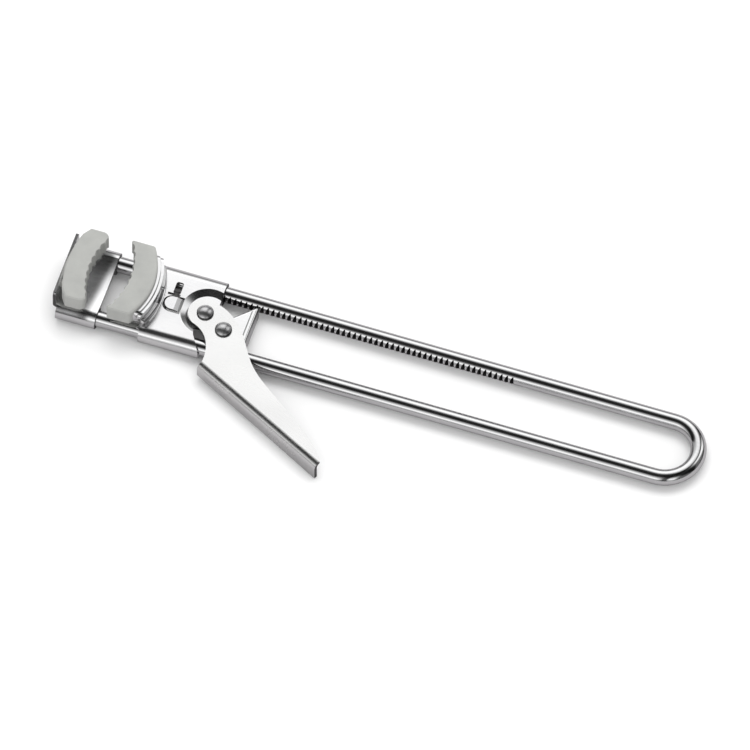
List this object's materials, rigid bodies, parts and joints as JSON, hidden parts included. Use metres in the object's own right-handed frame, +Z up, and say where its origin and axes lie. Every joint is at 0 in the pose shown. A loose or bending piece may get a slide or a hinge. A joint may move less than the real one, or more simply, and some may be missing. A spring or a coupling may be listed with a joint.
{
  "type": "manual can opener",
  "caption": "Lid-gripping opener: wire handle with a rack of teeth, a fixed and a sliding padded jaw, and a toggle lever whose pawl clamps the jaws on a lid.",
  "frame": {"origin": "centre of the handle's U-bend, in the plane of the rods' centrelines", "axes": "+X from the jaws to the bend, +Y towards the toothed leg of the handle, +Z up, out of the face that carries the lever"},
  "size_m": [0.2286, 0.0617, 0.0173],
  "materials": {
    "rod_steel": "polished stainless steel",
    "sheet_steel": "polished stainless sheet",
    "rivet_steel": "polished stainless steel",
    "spring_steel": "drawn spring wire",
    "pad": "matte moulded"
  },
  "bodies": {
    "frame": {"handle_rod": "rod_steel", "fixed_jaw_bracket": "sheet_steel", "fixed_jaw_pad": "pad"},
    "carriage": {"carriage_plate": "sheet_steel", "moving_jaw_plate": "sheet_steel", "moving_jaw_pad": "pad", "lever_rivet": "rivet_steel", "lever_washer": "rivet_steel"},
    "lever": {"lever": "sheet_steel", "pawl_rivet": "rivet_steel", "pawl_washer": "rivet_steel", "return_spring": "spring_steel"},
    "pawl": {"pawl": "sheet_steel"}
  },
  "joints": [
    {"name": "carriage_slide", "type": "slide", "parent": "frame", "child": "carriage", "axis": [1, 0, 0], "range_m": [-0.005, 0.085]},
    {"name": "lever_pivot", "type": "hinge", "parent": "carriage", "child": "lever", "pos_m": [-0.1642, -0.0002, 0], "axis": [0, 0, 1], "range_deg": [0, 26], "stiffness_Nm_per_rad": 0.02, "springref_deg": -28.65},
    {"name": "pawl_pivot", "type": "hinge", "parent": "lever", "child": "pawl", "pos_m": [-0.1562, -0.0047, 0], "axis": [0, 0, 1], "range_deg": [-48.6, 0], "deforming": ["return_spring"]}
  ],
  "couplings": [
    {"joint": "pawl_pivot", "follows": "lever_pivot", "ratio": -1.863}
  ]
}
